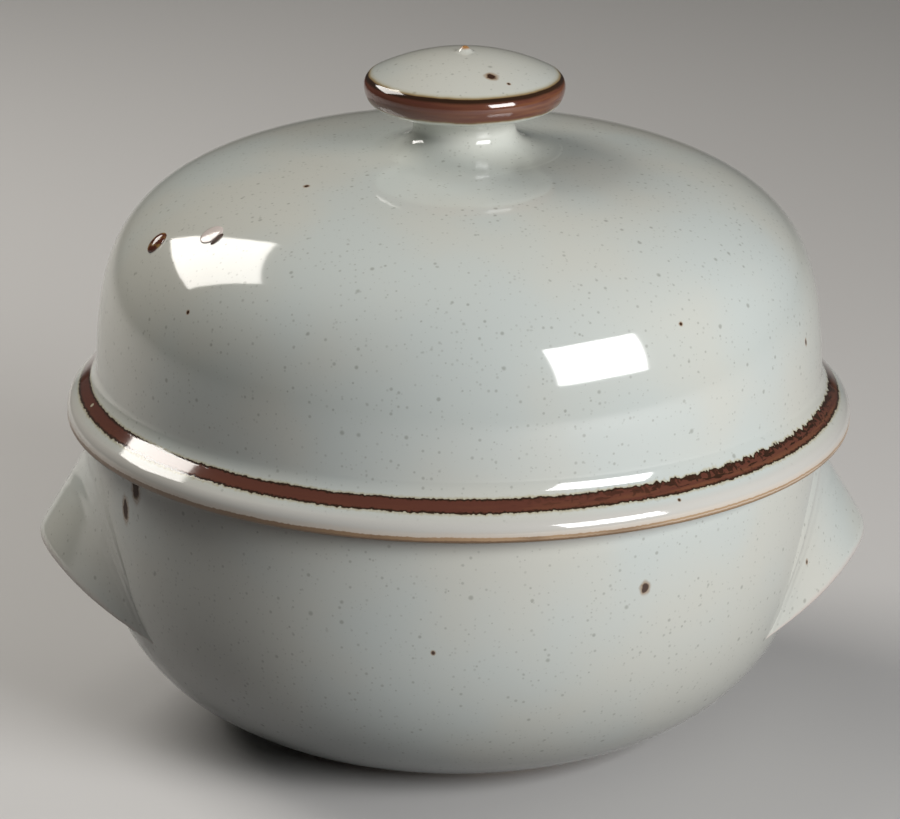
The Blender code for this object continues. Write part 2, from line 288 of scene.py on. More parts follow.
def celadon(place):
    """Pale glaze whose tint drifts a little, with iron specks that bled up from the clay."""
    colour = place.clouds(TINT_DRIFT).step(*TINT_EDGES).mix(CELADON_COOL, CELADON_WARM)
    for cells_per_metre, largest, strength in SPECK_LAYERS:
        cells = place.node("TexVoronoi", {}, {"Vector": place, "Scale": cells_per_metre})
        chance = cells.node("SeparateColor", {}, {0: cells.beside("Color")})
        speck = (cells / (chance**2 * largest + SPECK_LEAST)).step(1.0, SPECK_CORE)
        colour = (speck * strength).mix(colour, SPECK)
    return colour


def iron_reach(place, point, radius, tallness):
    """How far a place is from a spot's middle, in radii, with a ragged edge."""
    away = place.node("VectorMath", {"operation": "SUBTRACT"}, {0: place, 1: point})
    away = away.stretch((1.0, 1.0, 1 / tallness))
    reach = away.node("VectorMath", {"operation": "LENGTH"}, {0: away}, output="Value") / radius
    return reach + place.drift(SPOT_GRAIN, detail=1.0) * SPOT_RAGGED


def iron_spots(place, colour, spots):
    """Paints iron spots with a rusty halo; a spot is a point, a radius and its height over its width."""
    for point, radius, tallness in spots:
        reach = iron_reach(place, point, radius, tallness)
        colour = (reach.step(*SPOT_HALO_EDGES) * SPOT_HALO_STRENGTH).mix(colour, SPOT_HALO)
        colour = reach.step(*SPOT_EDGES).mix(colour, SPOT_IRON)
    return colour


def bare_clay(place):
    """Toasted stoneware with its grain."""
    return place.clouds(CLAY_GRAIN, detail=3.0).step(*CLAY_EDGES).mix(TOASTED_CLAY, PALE_CLAY)


def fire(material, place, colour, roughness, relief):
    """Sets the shader: relief is in millimetres, on top of the slight ripple of a fired glaze."""
    ripple = place.clouds(RIPPLE_SCALE, detail=1.0) * GLAZE_RIPPLE
    bump = place.node("Bump", {}, {"Distance": MILLIMETRE, "Height": ripple + relief})
    shader = material.node_tree.nodes["Principled BSDF"]
    shader.inputs["Specular IOR Level"].default_value = GLAZE_SPECULAR
    for name, value in (("Base Color", colour), ("Roughness", roughness), ("Normal", bump)):
        material.node_tree.links.new(value.socket, shader.inputs[name])


def on_bowl(turn_degrees, height):
    """The point on the bowl's outside at a turn about the axis and a height."""
    turn = math.radians(turn_degrees)
    radius = bowl_radius_at(height)
    return (radius * math.cos(turn), radius * math.sin(turn), height)


# The last two are the runs under the flange on the left
bowl_spots = [
    (on_bowl(-62.8, 0.0795), 0.0014, 1.3),
    (on_bowl(-95.5, 0.0635), 0.0006, 1.2),
    (on_bowl(-153.5, 0.0868), 0.0019, 1.9),
    (on_bowl(-149.9, 0.0960), 0.0023, 1.7),
]
bowl_surface, place = new_surface("celadon_bowl")
wiped_height = place.along("Z") + place.drift(WIPE_GRAIN) * WIPE_WANDER
lip_bare = wiped_height.step(LIP_GLAZE_END, LIP_BARE_FROM)
foot_bare = wiped_height.step(*FOOT_WIPED) * axis_distance(place, 0.0).step(*FOOT_WIPED_INNER)
bare = lip_bare.either(foot_bare)
dry = bare
for spot in bowl_spots:
    dry = dry.either(iron_reach(place, *spot).step(*SPOT_DRY_EDGES))
colour = wiped_height.step(LIP_THIN_FROM, LIP_THIN_TO).mix(celadon(place), THIN_GLAZE)
colour = bare.mix(iron_spots(place, colour, bowl_spots), bare_clay(place))
grain = place.clouds(BARE_GRAIN) * bare * BARE_RELIEF
fire(bowl_surface, place, colour, dry * (BARE_ROUGHNESS - GLOSS) + GLOSS, grain)
dish_bowl.data.materials.append(bowl_surface)
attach(dish_bowl, "dish")
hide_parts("dish_bowl")


# Lugs: an ear on either side, pulled from a slab, luted to the wall with slip and smoothed in by finger.
# Each hangs over a hollow for the fingertips. The glaze runs thin over their edges.
# The sections stand upright on the wall and are spread about the axis of the bowl.
lug_low, lug_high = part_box("lug_right")
LUG_HALF_ANGLE = math.radians(28.5)
LUG_TOP = lug_high.z
LUG_TIP_HEIGHT = LIP_HEIGHT - 0.0440
LUG_END_HEIGHT = lug_low.z
LUG_END_RISE = 0.0045
LUG_REACH = lug_high.x - bowl_radius_at(LUG_TIP_HEIGHT)
LUG_END_REACH = 0.0012
LUG_RUN_OUT = 1.14  # in half angles: how far out along the wall the clay was smoothed
LUG_END_BLEND = 0.0020
LUG_END_SINK = 0.0010
LUG_TIP_ROUNDNESS = 0.16
LUG_NOSE = 0.0065  # rounds the face over towards the lower edge at the tip
LUG_EDGE_ROUNDING = 0.0030
LUG_EDGE_SHARE = 0.2
LUG_HOLLOW = 0.0100
LUG_SHOULDER = 3.0
LUG_FACE_BULGE = 0.0005
LUG_SMEAR = 0.0100  # how far the smoothed slip reaches up the wall from the lug
LUG_SKIM = 0.0001
LUG_FILLET = 0.0040
LUG_SINK = 0.0009  # how deep the back lies in the wall, so that slip and glaze close the joint
LUG_BACK_TURN = 8  # how late the back turns out of the wall to meet the smear
LUG_FACE_END = 0.50  # the shares of the way round a section at which its stretches end
LUG_EDGE_END = 0.65
LUG_HOLLOW_END = 0.85
LUG_SPREAD_STEPS = 96
LUG_ROUND_STEPS = 80
LUG_THIN = "thin_glaze"
LUG_THIN_AROUND = 0.530
LUG_THIN_SPREAD = 0.075
LUG_THIN_PATCHES = 90.0
LUG_THIN_WANDER = 0.5
LUG_THIN_EDGES = (0.25, 0.9)
LUG_THIN_DULLING = 0.04
LUG_THIN_GLAZE = (0.690, 0.590, 0.540, 1.0)
LUG_DROP = "below_crease"
LUG_DRAG = 0.060  # in millimetres, of the marks that the finger left along the crease
LUG_DRAG_PITCH = 0.0056
LUG_DRAG_START = -0.0040
LUG_DRAG_REACH = 0.0170
LUG_DRAG_PATCHES = 40.0
LUG_DRAG_WANDER = 0.0060


def lug_taper(share):
    """How far the lug has tapered at a share of the way to either end: 0 at the tip and 1 at the end."""
    taper = math.hypot(share, LUG_TIP_ROUNDNESS) - LUG_TIP_ROUNDNESS
    return taper / (math.hypot(1.0, LUG_TIP_ROUNDNESS) - LUG_TIP_ROUNDNESS)


def lug_heights(share):
    """Heights of the lug's lower edge and of the crease where its face leaves the wall."""
    edge_height = LUG_TIP_HEIGHT + (LUG_END_HEIGHT - LUG_TIP_HEIGHT) * lug_taper(share)
    crease = LUG_TOP + (LUG_END_HEIGHT + LUG_END_RISE - LUG_TOP) * abs(share) ** LUG_SHOULDER
    return edge_height, max(crease, edge_height + LUG_END_RISE)


def lug_face(height, crease_height, lip_height, edge_radius, reach):
    """Radius of the face at a height: a ramp from the crease that runs into the rounded nose."""
    nose = LUG_NOSE * reach / LUG_REACH
    nose_radius = edge_radius - nose
    root = bowl_radius_at(crease_height)
    rise = crease_height - lip_height
    nose_turn = math.atan2(rise, root - nose_radius)
    nose_turn -= math.acos(nose / math.hypot(root - nose_radius, rise))
    nose_top = lip_height + nose * math.sin(nose_turn)
    if height < nose_top:
        return nose_radius + math.sqrt(nose**2 - (height - lip_height) ** 2)
    ramp = (crease_height - height) / (crease_height - nose_top)
    bulge = LUG_FACE_BULGE * reach / LUG_REACH * math.sin(math.pi * max(0.0, ramp))
    return root + (nose_radius + nose * math.cos(nose_turn) - root) * ramp + bulge


def lug_point(share, around):
    """A point of the lug in (radius, height): share runs from end to end, around goes round the section."""
    taper = lug_taper(share)
    stretch = LUG_REACH + (LUG_END_REACH - LUG_REACH) * taper
    reach = (stretch + math.hypot(stretch, LUG_END_BLEND)) / 2
    sink = LUG_END_SINK * taper
    edge_height, crease_height = lug_heights(share)
    hollow_height = min((edge_height + crease_height) / 2, edge_height + LUG_HOLLOW)
    rounding = min(LUG_EDGE_ROUNDING, reach * LUG_EDGE_SHARE, (hollow_height - edge_height) / 2)
    edge_radius = bowl_radius_at(edge_height) + reach
    lip_radius = edge_radius - rounding
    lip_height = edge_height + rounding
    if around < LUG_FACE_END:
        along = around / LUG_FACE_END
        smear_top = crease_height + LUG_SMEAR
        height = smear_top + (lip_height - smear_top) * along
        wall = bowl_radius_at(height)
        stand = lug_face(height, crease_height, lip_height, edge_radius, reach) - wall
        blend = min(LUG_FILLET, reach) * (1 - along)
        stand = (stand + math.hypot(stand, blend)) / 2
        fade = min(1.0, (smear_top - height) / LUG_SMEAR)
        fade *= fade * (3 - 2 * fade)
        return wall + stand * fade - sink - LUG_SKIM * (1 - fade), height
    if around < LUG_EDGE_END:
        turn = -math.pi * (around - LUG_FACE_END) / (LUG_EDGE_END - LUG_FACE_END)
        return lip_radius + rounding * math.cos(turn) - sink, lip_height + rounding * math.sin(turn)
    if around < LUG_HOLLOW_END:
        turn = math.pi / 2 * (around - LUG_EDGE_END) / (LUG_HOLLOW_END - LUG_EDGE_END)
        hollow_radius = bowl_radius_at(hollow_height) - LUG_SINK
        overhang = lip_radius - rounding - hollow_radius - sink
        depth = hollow_height - lip_height
        return hollow_radius + overhang * math.cos(turn), lip_height + depth * math.sin(turn)
    first_radius, first_height = lug_point(share, 0.0)
    along = (around - LUG_HOLLOW_END) / (1 - LUG_HOLLOW_END)
    height = hollow_height + (first_height - hollow_height) * along
    root = bowl_radius_at(height) - LUG_SINK
    return root + (first_radius - root) * along**LUG_BACK_TURN, height


def lute_lug(name, heading):
    """Shapes a flat sheet of clay into an ear and closes it; heading is its tip's angle about the axis."""
    bpy.ops.object.select_all(action="DESELECT")
    bpy.ops.mesh.primitive_grid_add(
        x_subdivisions=LUG_SPREAD_STEPS, y_subdivisions=LUG_ROUND_STEPS, size=1.0
    )
    ear = bpy.context.object
    ear.name = name
    ear.data.name = name
    thin_glaze = ear.data.attributes.new(LUG_THIN, "FLOAT", "POINT")
    drop = ear.data.attributes.new(LUG_DROP, "FLOAT", "POINT")
    for vertex in ear.data.vertices:
        share = 2 * vertex.co.x * LUG_RUN_OUT
        around = vertex.co.y + 0.5
        radius, height = lug_point(share, around)
        thinness = 1 - abs(around - LUG_THIN_AROUND) / LUG_THIN_SPREAD
        thin_glaze.data[vertex.index].value = max(0.0, thinness)
        drop.data[vertex.index].value = lug_heights(share)[1] - height
        angle = heading + share * LUG_HALF_ANGLE
        vertex.co = (radius * math.cos(angle), radius * math.sin(angle), height)
    bpy.ops.object.mode_set(mode="EDIT")
    bpy.ops.mesh.select_all(action="SELECT")
    bpy.ops.mesh.remove_doubles(threshold=MERGE_DISTANCE)
    bpy.ops.mesh.fill_holes(sides=0)
    bpy.ops.mesh.normals_make_consistent(inside=False)
    bpy.ops.object.mode_set(mode="OBJECT")
    bpy.ops.object.shade_smooth()
    return ear


lug_right = lute_lug("luted_lug_right", 0.0)
lug_left = lute_lug("luted_lug_left", math.pi)
lug_spots = [((0.1101, -0.0411, 0.0635), 0.0006, 1.4)]
lug_surface, place = new_surface("celadon_lugs")
thin = place.node("Attribute", {"attribute_name": LUG_THIN}, {}, output="Fac")
thin = (thin + place.drift(LUG_THIN_PATCHES) * LUG_THIN_WANDER).step(*LUG_THIN_EDGES)
drop = place.node("Attribute", {"attribute_name": LUG_DROP}, {}, output="Fac")
lane = (drop + place.clouds(LUG_DRAG_PATCHES) * LUG_DRAG_WANDER) * (math.tau / LUG_DRAG_PITCH)
drag = lane.maths("SINE", lane, 0.0) * drop.step(LUG_DRAG_START, 0.0) * drop.step(LUG_DRAG_REACH, 0.0)
colour = iron_spots(place, thin.mix(celadon(place), LUG_THIN_GLAZE), lug_spots)
fire(lug_surface, place, colour, thin * LUG_THIN_DULLING + GLOSS, drag * LUG_DRAG)
for ear, node in ((lug_right, "lug_right"), (lug_left, "lug_left")):
    ear.data.materials.append(lug_surface)
    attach(ear, "dish")
    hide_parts(node)


# Lid: thrown upside down with its collar, then turned over. The dome is tall, with a rolled flange.
# A band of iron was brushed on at the foot of the dome. The collar and the underside of the flange
# are bare, and the flange's edge toasted in the kiln.
lid_low, lid_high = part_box("lid_dome")
LID_X = (lid_low.x + lid_high.x) / 2
FLANGE_RADIUS = (lid_high.x - lid_low.x) / 2
LID_SEAT = LIP_HEIGHT + 0.0003
COLLAR_FOOT = lid_low.z
FLANGE_ROLL = 0.0052  # rounds the shoulder over to the flange's upright face
FLANGE_FACE = 0.0015
FLANGE_EDGE_ROUNDING = 0.0010
SHOULDER_WIDTH = 0.0091
SHOULDER_SLOPE = math.radians(43.5)
SHOULDER_FILLET = 0.0084
COLLAR_CLEARANCE = 0.0018
COLLAR_WALL = 0.0055
COLLAR_ROUNDING = 0.0014
COLLAR_BLEND = 0.0160
LID_WALL = 0.0065
DOME_RADIUS = FLANGE_RADIUS - SHOULDER_WIDTH
DOME_TOP = lid_high.z
DOME_CENTRE = LIP_HEIGHT - 0.0556  # of the superellipse that the dome follows
DOME_SQUARENESS_UP = 7.65
DOME_SQUARENESS_OUT = 2.47
DOME_STEPS = 84
DOME_INSIDE_STEPS = 60
SHOULDER_STEPS = 18
COLLAR_STEPS = 14


def dome_radius_at(height, inset):
    """Radius of the dome at a height; the inset gives its inner surface."""
    share = (height - DOME_CENTRE) / (DOME_TOP - DOME_CENTRE - inset)
    return (DOME_RADIUS - inset) * (1 - share**DOME_SQUARENESS_UP) ** (1 / DOME_SQUARENESS_OUT)


def dome_height_at(radius):
    """Height of the dome's outside at a radius."""
    share = radius / DOME_RADIUS
    rise = (1 - share**DOME_SQUARENESS_OUT) ** (1 / DOME_SQUARENESS_UP)
    return DOME_CENTRE + (DOME_TOP - DOME_CENTRE) * rise


def dome_curve(lowest, steps, inset):
    """Points of the dome from its top on the axis down to a height."""
    rise = DOME_TOP - DOME_CENTRE - inset
    last = math.asin(((lowest - DOME_CENTRE) / rise) ** (DOME_SQUARENESS_UP / 2))
    points = [(0.0, DOME_TOP - inset)]
    for step in range(1, steps + 1):
        turn = math.pi / 2 + (last - math.pi / 2) * step / steps
        radius = (DOME_RADIUS - inset) * math.cos(turn) ** (2 / DOME_SQUARENESS_OUT)
        points.append((radius, DOME_CENTRE + rise * math.sin(turn) ** (2 / DOME_SQUARENESS_UP)))
    return points


slope_turn = math.pi / 2 - SHOULDER_SLOPE
roll_r = FLANGE_RADIUS - FLANGE_ROLL
roll_z = LID_SEAT + FLANGE_EDGE_ROUNDING + FLANGE_FACE
roll = arc(roll_r, roll_z, FLANGE_ROLL, FLANGE_ROLL, slope_turn, 0.0, SHOULDER_STEPS)
flange_edge_r = FLANGE_RADIUS - FLANGE_EDGE_ROUNDING
roll += quarter_round(flange_edge_r, LID_SEAT + FLANGE_EDGE_ROUNDING, FLANGE_EDGE_ROUNDING, 0.0)
fillet_foot_r = DOME_RADIUS + SHOULDER_FILLET * (1 - math.cos(slope_turn))
fillet_foot_z = roll[0][1] + (roll[0][0] - fillet_foot_r) * math.tan(SHOULDER_SLOPE)
fillet_z = fillet_foot_z + SHOULDER_FILLET * math.sin(slope_turn)
fillet_r = dome_radius_at(fillet_z, 0.0) + SHOULDER_FILLET
fillet_end = math.pi + slope_turn
fillet = arc(fillet_r, fillet_z, SHOULDER_FILLET, SHOULDER_FILLET, math.pi, fillet_end, SHOULDER_STEPS)
collar_r = BOWL_RADIUS - BOWL_WALL - COLLAR_CLEARANCE
collar_inner = collar_r - COLLAR_WALL
collar = [(collar_r, LID_SEAT)]
for centre_r, start in ((collar_r - COLLAR_ROUNDING, 0.0), (collar_inner + COLLAR_ROUNDING, -math.pi / 2)):
    collar += quarter_round(centre_r, COLLAR_FOOT + COLLAR_ROUNDING, COLLAR_ROUNDING, start)
inside_top = LID_SEAT + COLLAR_BLEND
inside_r = dome_radius_at(inside_top, LID_WALL)
for step in range(COLLAR_STEPS):
    share = step / COLLAR_STEPS
    ease = share * share * (3 - 2 * share)
    collar.append((collar_inner + (inside_r - collar_inner) * ease, LID_SEAT + COLLAR_BLEND * share))
lid_profile = dome_curve(fillet_z, DOME_STEPS, 0.0) + fillet[1:] + roll + collar
inside = dome_curve(inside_top, DOME_INSIDE_STEPS, LID_WALL)
lid_profile += [ridged(radius, height) for radius, height in inside[:0:-1]]
lid_profile.append((0.0, DOME_TOP - LID_WALL))
lid_dome = throw("thrown_lid", lid_profile, LID_X, WHEEL_STEPS)

IRON_RED = (0.132, 0.044, 0.029, 1.0)
IRON_RUST = (0.225, 0.090, 0.042, 1.0)
IRON_DARK = (0.026, 0.013, 0.006, 1.0)
IRON_HALO = (0.480, 0.430, 0.270, 1.0)
IRON_ROUGHNESS = 0.08
IRON_COAT = 0.7
IRON_DARK_STRENGTH = 0.92
BAND_LOWER = 0.1102
BAND_LOWER_WANDER = 0.0005
BAND_LOWER_NIBBLE = 0.0010
BAND_UPPER = 0.1136
BAND_UPPER_WANDER = 0.0008
BAND_UPPER_NIBBLE = 0.0009
BAND_INNER_RADII = (0.1130, 0.1135)
BAND_SOFTNESS = 0.0001
BAND_EDGE = 0.0007  # width of the dark line where the iron pooled
BAND_HALO = 0.0007
BAND_HALO_STRENGTH = 0.7
BAND_SINK = 0.01  # in millimetres
NICK = ((-0.1151, -0.0263, 0.1122), 0.0008, 1.0)  # a bare place in the band, given as a spot is
NICK_EDGES = (0.8, 1.1)
RIGHT_SIDE = (-0.1, 0.7)  # in flange radii: where the band turns dark and ragged
LEFT_SIDE = (0.1, -0.55)  # where painted shade darkens the bare edge, on the side away from the key light
UPRIGHT = (1.0, 1.0, 0.3)  # draws a pattern out upwards
UPRIGHT_LONG = (1.0, 1.0, 0.1)
TOOTH_SCALE = 560.0
TOOTH_HEIGHT = 0.0026
NIBBLE_SCALE = 950.0
EDGE_DETAIL = 1.5
WANDER_SCALE = 45.0
FRINGE_DEPTH = 0.0013  # how far down the dark teeth reach
FRINGE_WANDER = 0.0040
FRINGE_STRENGTH = 0.9
DASH_SCALE = (240.0, 240.0, 1400.0)
DASH_EDGES = (0.56, 0.63)
DASH_DEPTHS = (0.0028, 0.0018)
BRUSH_SCALE = (60.0, 60.0, 1500.0)
RUST_EDGES = (0.35, 0.62)
RUST_HEIGHTS = (0.0028, 0.0004)
RUST_LEAST = 0.15
RUST_ON_RIGHT = 0.55
FLANGE_THIN_HEIGHTS = (0.1098, 0.1075)
TOAST = (0.420, 0.270, 0.150, 1.0)
# Darker toasted clay, also used as painted shade at the flange's foot and on the left
TOAST_DARK_AND_SHADE = (0.190, 0.110, 0.055, 1.0)
TOAST_HALO = (0.660, 0.560, 0.460, 1.0)
TOAST_TOP = 0.1042
TOAST_BOTTOM = 0.1029
TOAST_WANDER = 0.0006
TOAST_SOFTNESS = 0.0003
TOAST_GLOW = 0.0020  # how far the peach tint reaches up from the bare edge
TOAST_GLOW_STRENGTH = 0.7
TOAST_SHEEN = 0.6  # how much smoother the toasted edge is than the other bare clay
TOAST_RELIEF = 0.08  # in millimetres
PARTING_TOP = (TOAST_TOP - 0.0006, TOAST_TOP - 0.0009)  # the pale line along the toasted edge
PARTING_STRENGTH = 0.8
# The dark foot line is partly painted shade under the flange, so it is painted weaker on the lit right; the
# left side gets painted shade
SCORCH_AND_SHADE_LESS_ON_RIGHT = 0.7
PAINTED_SHADE_ON_LEFT = 0.85
SCORCH_PATCHES = (0.0, 0.22)
SCORCH_PATCH_STRENGTH = 0.6


def on_dome(turn_degrees, height):
    """The point on the dome's outside at a turn about its axis and a height."""
    turn = math.radians(turn_degrees)
    radius = dome_radius_at(height, 0.0)
    return (LID_X + radius * math.cos(turn), radius * math.sin(turn), height)


lid_spots = [
    (on_dome(-146.6, 0.1850), 0.0009, 0.5),
    (on_dome(-141.3, 0.1561), 0.0006, 1.0),
    (on_dome(-55.0, 0.1582), 0.0006, 1.0),
    (on_dome(-22.7, 0.1376), 0.0007, 1.6),
    ((0.0624, -0.1064, 0.1087), 0.0005, 1.0),
]
lid_surface, place = new_surface("celadon_lid")
height = place.along("Z")
outside = axis_distance(place, LID_X).step(*BAND_INNER_RADII)
rightward = (place.along("X") / FLANGE_RADIUS).step(*RIGHT_SIDE)
leftward = (place.along("X") / FLANGE_RADIUS).step(*LEFT_SIDE)
teeth = place.stretch(UPRIGHT).drift(TOOTH_SCALE, EDGE_DETAIL)
nibble = place.stretch(UPRIGHT).drift(NIBBLE_SCALE, EDGE_DETAIL)
wander = place.stretch(UPRIGHT_LONG).drift(WANDER_SCALE)

# Iron band, with a dark line at either edge and dark teeth on the right
upper = BAND_UPPER + wander * BAND_UPPER_WANDER + nibble * BAND_UPPER_NIBBLE
upper = upper + teeth * rightward * TOOTH_HEIGHT
lower = BAND_LOWER + wander * BAND_LOWER_WANDER + nibble * BAND_LOWER_NIBBLE
above = height - lower
below = upper - height
iron = above.step(-BAND_SOFTNESS, BAND_SOFTNESS) * below.step(-BAND_SOFTNESS, BAND_SOFTNESS)
iron = iron * outside * iron_reach(place, *NICK).step(*NICK_EDGES)
edge_line = above.step(BAND_EDGE, BAND_EDGE / 3).either(below.step(BAND_EDGE, BAND_EDGE / 3))
fringe = (below + teeth * FRINGE_WANDER).step(FRINGE_DEPTH, FRINGE_DEPTH / 2) * rightward
dash = place.stretch(DASH_SCALE).clouds(1.0, EDGE_DETAIL).step(*DASH_EDGES) * rightward
dark = edge_line.either(fringe * FRINGE_STRENGTH).either(dash * below.step(*DASH_DEPTHS))
brush = place.stretch(BRUSH_SCALE).clouds(1.0, detail=3.0).step(*RUST_EDGES)
rust = brush * (RUST_LEAST + rightward * RUST_ON_RIGHT) * above.step(*RUST_HEIGHTS)
iron_colour = (dark * IRON_DARK_STRENGTH).mix(rust.mix(IRON_RED, IRON_RUST), IRON_DARK)
halo = above.step(-BAND_HALO, 0.0) * below.step(-BAND_HALO, 0.0) * outside

# Bare edge of the flange, toasted. Its foot is darker, partly from toasted clay and partly from painted
# shade under the edge, and painted shade darkens it on the left
toast_edge = height + wander * TOAST_WANDER + nibble * TOAST_WANDER
bare = toast_edge.step(TOAST_TOP, TOAST_TOP - TOAST_SOFTNESS)
glow = toast_edge.step(TOAST_TOP + TOAST_GLOW, TOAST_TOP) * outside
parting = toast_edge.step(*PARTING_TOP) * toast_edge.step(TOAST_BOTTOM, TOAST_BOTTOM + TOAST_SOFTNESS)
# Painted shade under the flange's edge adds to the toasted foot, and painted shade darkens the left side
scorch_and_shade = toast_edge.step(TOAST_BOTTOM + TOAST_SOFTNESS, TOAST_BOTTOM)
scorch_and_shade = scorch_and_shade * (1 - rightward * SCORCH_AND_SHADE_LESS_ON_RIGHT)
toasted_and_shaded = (parting * rightward * PARTING_STRENGTH).mix(TOAST, TOAST_HALO)
toasted_and_shaded = scorch_and_shade.either(leftward * PAINTED_SHADE_ON_LEFT).mix(toasted_and_shaded, TOAST_DARK_AND_SHADE)
toasted_and_shaded = (wander.step(*SCORCH_PATCHES) * SCORCH_PATCH_STRENGTH).mix(toasted_and_shaded, TOAST_DARK_AND_SHADE)

thin = height.step(*FLANGE_THIN_HEIGHTS) * outside
colour = iron_spots(place, thin.mix(celadon(place), THIN_GLAZE), lid_spots)
colour = (halo * BAND_HALO_STRENGTH).mix(colour, IRON_HALO)
colour = iron.mix(colour, iron_colour)
colour = (glow * TOAST_GLOW_STRENGTH).mix(colour, TOAST_HALO)
colour = bare.mix(colour, outside.mix(bare_clay(place), toasted_and_shaded))
dryness = bare * (BARE_ROUGHNESS - GLOSS) * (1 - outside * TOAST_SHEEN)
roughness = GLOSS + iron * (IRON_ROUGHNESS - GLOSS) + dryness
relief = place.clouds(BARE_GRAIN) * bare * TOAST_RELIEF - iron * dark * BAND_SINK
fire(lid_surface, place, colour, roughness, relief)
lid_shader = lid_surface.node_tree.nodes["Principled BSDF"]
lid_surface.node_tree.links.new((iron * IRON_COAT).socket, lid_shader.inputs["Coat Weight"])
lid_dome.data.materials.append(lid_surface)
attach(lid_dome, "lid")
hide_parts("lid_dome")


# Blisters: two beads at the left of the dome where iron in the clay boiled up through the glaze.
# The right one is glazed over and cracked along one side.
BLISTER_IRON = (0.110, 0.030, 0.016, 1.0)
BLISTER_RUST = (0.330, 0.190, 0.060, 1.0)
BLISTER_PALE = (0.720, 0.630, 0.590, 1.0)
BLISTER_MOTTLE = 420.0
CRACK_MOTTLE = 900.0
CRACK_ROUGHNESS = 0.60
MOTTLE_DULLING = 0.1
BEAD_SEGMENTS = 32
BEAD_RINGS = 16


def raise_blister(name, turn_degrees, radius, length, width, height):
    """A bead sunk half into the dome, long down the slope; radius is from the lid's axis to its middle."""
    bpy.ops.object.select_all(action="DESELECT")
    bpy.ops.mesh.primitive_uv_sphere_add(segments=BEAD_SEGMENTS, ring_count=BEAD_RINGS, radius=1.0)
    bead = bpy.context.object
    bead.name = name
    bead.data.name = name
    turn = math.radians(turn_degrees)
    fall = dome_height_at(radius - MILLIMETRE) - dome_height_at(radius + MILLIMETRE)
    bead.scale = (length / 2, width / 2, height)
    bead.rotation_euler = (0.0, math.atan2(fall, 2 * MILLIMETRE), turn)
    bead.location = (LID_X + radius * math.cos(turn), radius * math.sin(turn), dome_height_at(radius))
    bpy.ops.object.transform_apply()
    bpy.ops.object.shade_smooth()
    return bead


def fire_blister(bead, mottling, edges, first_colour, second_colour, strength, roughness, relief):
    """Gives a bead its own mottled finish and its place on the lid; relief is in millimetres."""
    surface, place = new_surface(bead.name)
    mottle = place.clouds(mottling)
    colour = (mottle.step(*edges) * strength).mix(first_colour, second_colour)
    fire(surface, place, colour, mottle * MOTTLE_DULLING + roughness, mottle * relief)
    bead.data.materials.append(surface)
    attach(bead, "lid")


iron_blister = raise_blister(
    "iron_blister", turn_degrees=-160.4, radius=0.1009, length=0.0080, width=0.0058, height=0.0014
)
glazed_blister = raise_blister(
    "glazed_blister", turn_degrees=-148.5, radius=0.0916, length=0.0080, width=0.0076, height=0.0005
)
blister_crack = raise_blister(
    "blister_crack", turn_degrees=-146.0, radius=0.0922, length=0.0052, width=0.0018, height=0.0007
)
fire_blister(
    iron_blister,
    mottling=BLISTER_MOTTLE,
    edges=(0.48, 0.62),
    first_colour=BLISTER_IRON,
    second_colour=BLISTER_RUST,
    strength=1.0,
    roughness=GLOSS,
    relief=0.05,
)
fire_blister(
    glazed_blister,
    mottling=BLISTER_MOTTLE,
    edges=(0.55, 0.80),
    first_colour=BLISTER_PALE,
    second_colour=BLISTER_RUST,
    strength=0.5,
    roughness=GLOSS,
    relief=0.02,
)
fire_blister(
    blister_crack,
    mottling=CRACK_MOTTLE,
    edges=(0.55, 0.75),
    first_colour=SPOT_IRON,
    second_colour=BLISTER_IRON,
    strength=1.0,
    roughness=CRACK_ROUGHNESS,
    relief=0.10,
)


# Knob: thrown off the hump, trimmed and luted to the top of the dome with its foot smoothed out.
# Its edge was dipped in iron. A small tip is left at the middle of the crown, where the clay was drawn off.
knob_low, knob_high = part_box("lid_knob")
KNOB_X = (knob_low.x + knob_high.x) / 2
KNOB_RADIUS = (knob_high.x - knob_low.x) / 2
KNOB_EDGE_HEIGHT = 0.0197
KNOB_EDGE_ROUNDING = 0.0042
KNOB_EDGE_DEPTH = 0.0060  # from the widest place down to the underside
KNOB_EDGE_TOP_TURN = math.radians(55)
KNOB_EDGE_UNDER_TURN = math.radians(75)
KNOB_CROWN = 0.0072
KNOB_NECK_RADIUS = 0.0162
KNOB_WAIST_HEIGHT = 0.0066
KNOB_FLARE_RADIUS = 0.0300
KNOB_FLARE_SQUARENESS = 2.15
KNOB_FLARE_TUCK = 0.0020  # how far the foot goes on under the dome's surface
KNOB_FLARE_DIP = 0.0002
KNOB_TIP_HEIGHT = 0.0019
KNOB_TIP_RADIUS = 0.0034
KNOB_SEAT_DEPTH = 0.0010
KNOB_SEAT_SHARES = (1.0, 0.66, 0.33, 0.0)
KNOB_CROWN_STEPS = 48
KNOB_CROWN_SPACING = 1.4  # sets the points closer at the tip
KNOB_EDGE_TOP_STEPS = 14
KNOB_EDGE_UNDER_STEPS = 18
KNOB_NECK_STEPS = 24
KNOB_FLARE_STEPS = 32
KNOB_TUCK_STEPS = 4
KNOB_WHEEL_STEPS = 160

